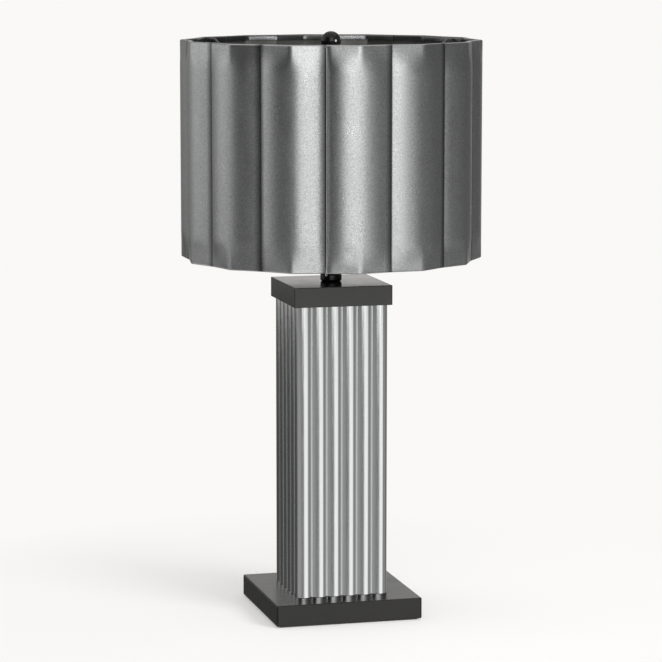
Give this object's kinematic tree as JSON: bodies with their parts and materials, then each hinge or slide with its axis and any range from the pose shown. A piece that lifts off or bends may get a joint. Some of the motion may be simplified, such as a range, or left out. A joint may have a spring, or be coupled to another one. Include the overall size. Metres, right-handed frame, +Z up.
{
  "type": "column table lamp",
  "caption": "Table lamp: square fluted metal column between a black base and cap, with a harp, turn switch and bulb under a scalloped velvet drum shade.",
  "frame": {"origin": "middle of the base's underside, on the table", "axes": "+Z up; the front of the lamp looks along -Y and the cord inlet along +Y"},
  "size_m": [0.3538, 0.3556, 0.6926],
  "materials": {
    "black_lacquer": "satin black lacquer",
    "felt": "matte felt",
    "black_plastic": "moulded",
    "brushed_metal": "brushed",
    "plated_steel": "zinc plated",
    "black_gloss": "gloss black",
    "hardware_metal": "satin nickel plated",
    "fibre": "vulcanised fibre",
    "brass": "plain",
    "bulb_glass": "frosted",
    "bulb_metal": "plain",
    "velvet": "velvet",
    "shade_lining": "matte lining",
    "hem_velvet": "velvet",
    "frame_wire": "painted wire"
  },
  "bodies": {
    "root": {"base_plate": "black_lacquer", "felt_pad": "felt", "cord_inlet": "black_plastic", "column_shell": "brushed_metal", "column_lower_plate": "plated_steel", "column_upper_plate": "plated_steel", "lower_plate_screws": "plated_steel", "upper_plate_screws": "plated_steel", "cap_plate": "black_lacquer", "threaded_rod": "plated_steel", "base_washer": "plated_steel", "base_nut": "plated_steel", "cap_washer": "plated_steel", "cap_nut": "plated_steel", "neck_collar": "black_gloss", "harp_saddle": "hardware_metal", "harp_bow": "hardware_metal", "harp_bridge": "hardware_metal", "harp_stud": "hardware_metal", "holder_dome": "hardware_metal", "holder_shell": "hardware_metal", "holder_liner": "fibre", "holder_body": "black_plastic", "terminal_screws": "brass", "screw_shell": "brass", "centre_contact": "brass"},
    "ferrule_left": {"ferrule_left": "hardware_metal"},
    "ferrule_right": {"ferrule_right": "hardware_metal"},
    "switch": {"switch_shaft": "brass", "switch_knob": "black_plastic"},
    "bulb": {"bulb_glass": "bulb_glass", "bulb_cap": "bulb_metal", "bulb_insulator": "black_plastic", "bulb_tip_contact": "brass"},
    "shade": {"shade_cover": "velvet", "shade_backing": "shade_lining", "shade_upper_trim": "hem_velvet", "shade_lower_trim": "hem_velvet", "shade_upper_ring": "frame_wire", "shade_lower_ring": "frame_wire", "spider_hub": "frame_wire", "spider_arms": "frame_wire"},
    "finial": {"finial_ball": "black_gloss", "finial_insert": "brass"}
  },
  "joints": [
    {"name": "shade_turn", "type": "hinge", "parent": "root", "child": "shade", "pos_m": [0, 0, 0.6645], "axis": [0, 0, 1], "continuous": true},
    {"name": "finial_turn", "type": "hinge", "parent": "root", "child": "finial", "pos_m": [0, 0, 0.6666], "axis": [0, 0, 1], "continuous": true},
    {"name": "bulb_turn", "type": "hinge", "parent": "root", "child": "bulb", "pos_m": [0, 0, 0.448], "axis": [0, 0, 1], "continuous": true},
    {"name": "switch_turn", "type": "hinge", "parent": "root", "child": "switch", "pos_m": [0, -0.02, 0.43115], "axis": [0, -1, 0], "continuous": true},
    {"name": "ferrule_left_lift", "type": "slide", "parent": "root", "child": "ferrule_left", "axis": [0, 0, 1], "range_m": [0, 0.015]},
    {"name": "ferrule_right_lift", "type": "slide", "parent": "root", "child": "ferrule_right", "axis": [0, 0, 1], "range_m": [0, 0.015]}
  ]
}
